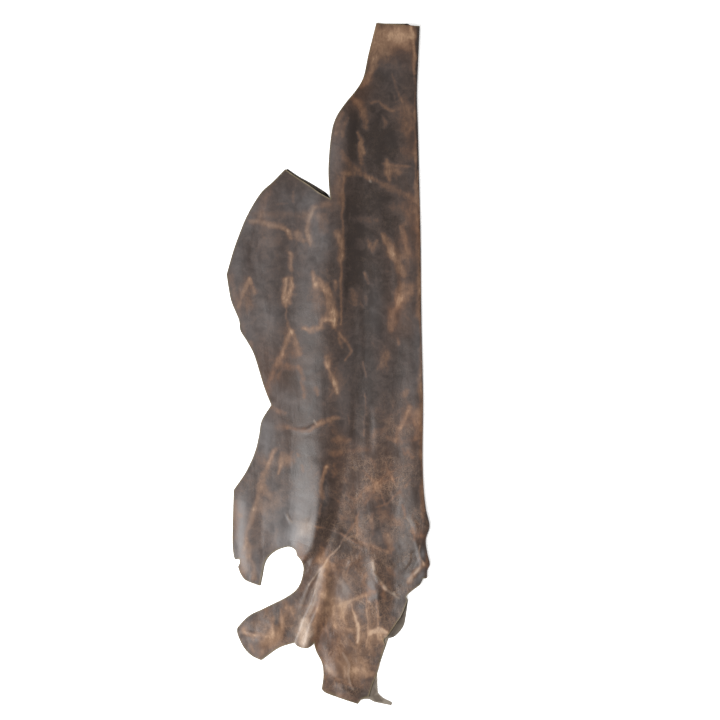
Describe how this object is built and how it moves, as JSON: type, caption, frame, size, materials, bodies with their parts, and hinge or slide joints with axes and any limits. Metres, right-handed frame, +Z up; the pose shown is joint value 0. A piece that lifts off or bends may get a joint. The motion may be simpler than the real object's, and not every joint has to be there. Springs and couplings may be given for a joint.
{
  "type": "cowhide",
  "caption": "Finished cowhide leather folded once along its backbone, grain side out, lying flat with its natural cut outline and long soft folds.",
  "frame": {"origin": "middle of the folded hide, on the surface it lies on", "axes": "+X across the hide towards the folded edge, +Y along the backbone towards the narrow end, +Z up"},
  "size_m": [0.8255, 2.772, 0.0313],
  "materials": {
    "pull_up_leather": "waxed pull-up grain, charcoal brown with tan rubbed marks, suede on the flesh side"
  },
  "bodies": {
    "root": {"cowhide": "pull_up_leather"}
  },
  "joints": []
}
